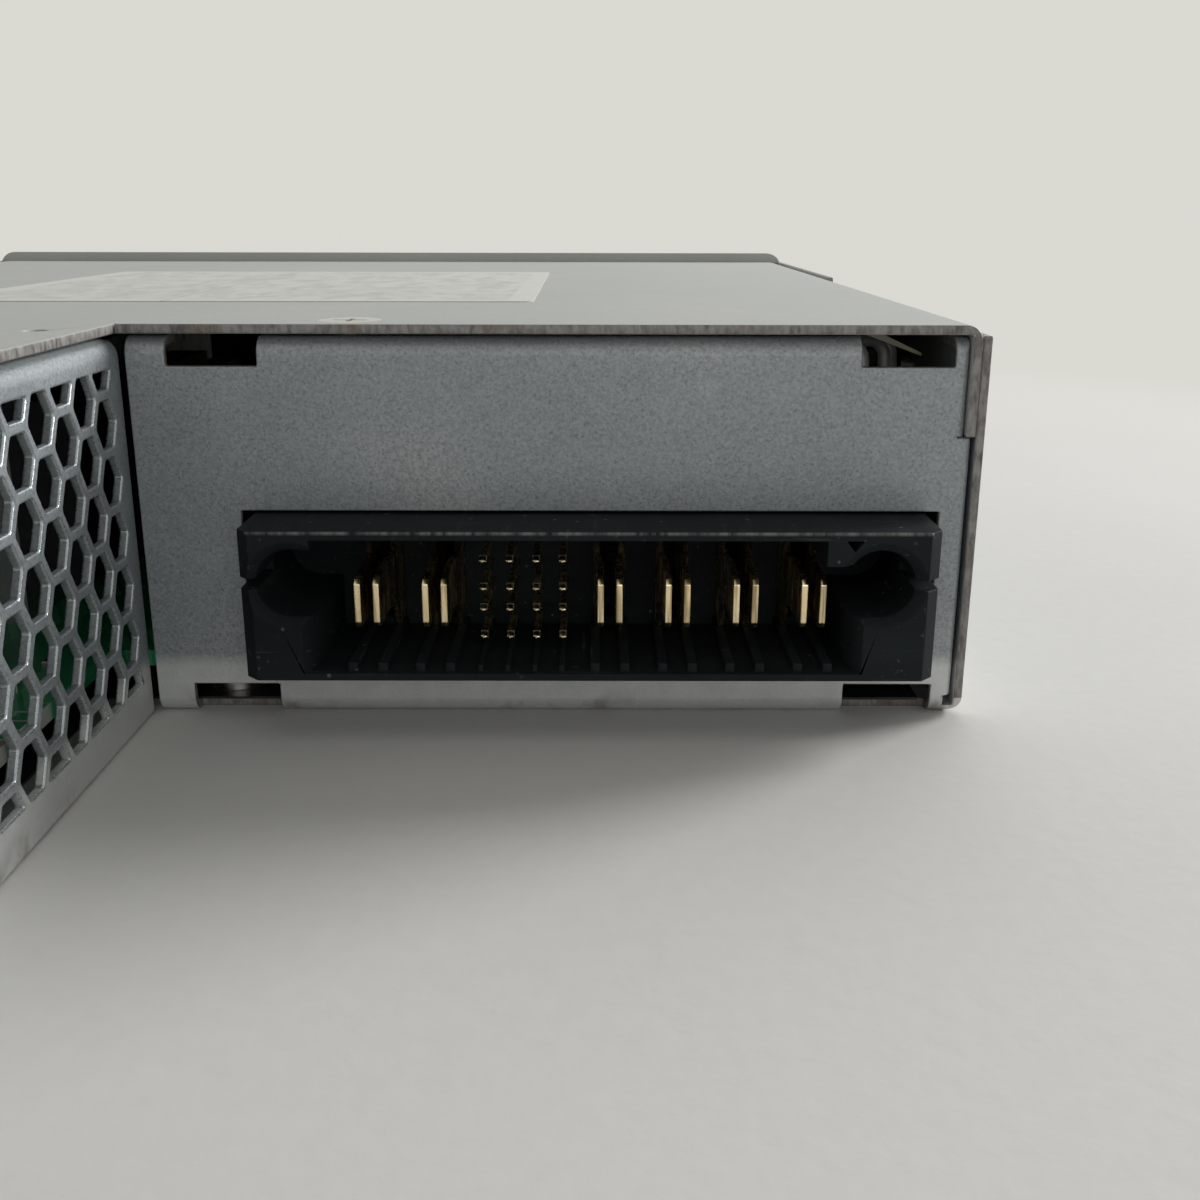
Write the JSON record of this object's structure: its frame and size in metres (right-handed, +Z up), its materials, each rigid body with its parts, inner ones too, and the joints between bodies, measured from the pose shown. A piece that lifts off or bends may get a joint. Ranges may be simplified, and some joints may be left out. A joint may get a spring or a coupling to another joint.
{
  "type": "hot swap server power supply",
  "caption": "Low, wide rack power supply with an L-shaped sheet-metal case, a recessed blade connector, hexagonal vents, fans, a mains inlet, a handle and a sprung latch.",
  "frame": {"origin": "middle of the underside of the whole part, handle and latch nose included", "axes": "+Z up; -Y is the way the output connector faces and the way the supply is pushed into its bay; +Y is towards the handle; +X is away from the perforated leg"},
  "size_m": [0.1578, 0.231, 0.0402],
  "materials": {
    "case_steel": "zinc-plated sheet",
    "bright_screws": "bright plated",
    "connector_black": "moulded, glass filled",
    "gold_contact": "gold plated",
    "tinned_contact": "tinned",
    "board_green": "solder mask",
    "film": "thin film",
    "film_black": "thin film",
    "package_black": "moulded",
    "can_black": "shrink sleeve",
    "ferrite": "sintered",
    "choke_wire": "tinned wire",
    "copper_wire": "enamelled wire",
    "tape_yellow": "tape and moulding",
    "sink_aluminium": "extruded",
    "fuse_ceramic": "ceramic",
    "fan_black": "moulded",
    "handle_black": "moulded",
    "latch_blue": "moulded",
    "light_clear": "clear moulding"
  },
  "bodies": {
    "case": {"ac_inlet": "connector_black", "base_tray": "case_steel", "board_screws": "bright_screws", "bridge_rectifier": "package_black", "bulk_capacitors": "can_black", "choke_stand": "package_black", "connector_shell": "connector_black", "control_board": "board_green", "control_chips": "package_black", "cover_film": "film", "cover_screws": "bright_screws", "end_grille": "case_steel", "fan_screws": "bright_screws", "film_capacitors": "tape_yellow", "front_panel": "case_steel", "handle": "handle_black", "handle_screws": "bright_screws", "inlet_pins": "tinned_contact", "inrush_relay": "package_black", "insulation_sheet": "film_black", "latch_bracket": "case_steel", "latch_pivot_pin": "bright_screws", "latch_spring": "bright_screws", "left_fan_frame": "fan_black", "line_choke_core": "ferrite", "line_choke_windings": "copper_wire", "line_fuse": "fuse_ceramic", "main_board": "board_green", "output_capacitors": "can_black", "output_choke_core": "ferrite", "output_choke_winding": "choke_wire", "pfc_choke_core": "ferrite", "pfc_choke_winding": "copper_wire", "power_blades": "gold_contact", "primary_heat_sink": "sink_aluminium", "primary_transistors": "package_black", "right_fan_frame": "fan_black", "secondary_heat_sink": "sink_aluminium", "secondary_transistors": "package_black", "signal_pins": "gold_contact", "standby_transformer": "tape_yellow", "standoffs": "bright_screws", "status_lights": "light_clear", "top_cover": "case_steel", "transformer_core": "ferrite", "transformer_winding": "copper_wire", "vent_panel": "case_steel"},
    "left_rotor": {"left_fan_rotor": "fan_black"},
    "right_rotor": {"right_fan_rotor": "fan_black"},
    "latch": {"release_latch": "latch_blue"}
  },
  "joints": [
    {"name": "left_fan_spin", "type": "hinge", "parent": "case", "child": "left_rotor", "pos_m": [-0.059, 0.0725, 0.01925], "axis": [0, 1, 0], "continuous": true},
    {"name": "right_fan_spin", "type": "hinge", "parent": "case", "child": "right_rotor", "pos_m": [-0.0222, 0.0725, 0.01925], "axis": [0, 1, 0], "continuous": true},
    {"name": "latch_swing", "type": "hinge", "parent": "case", "child": "latch", "pos_m": [0.0723, 0.0595, 0.01725], "axis": [0, 0, 1], "range_deg": [0, 8], "stiffness_Nm_per_rad": 0.4, "springref_deg": -8.59, "deforming": ["latch_spring"]}
  ]
}
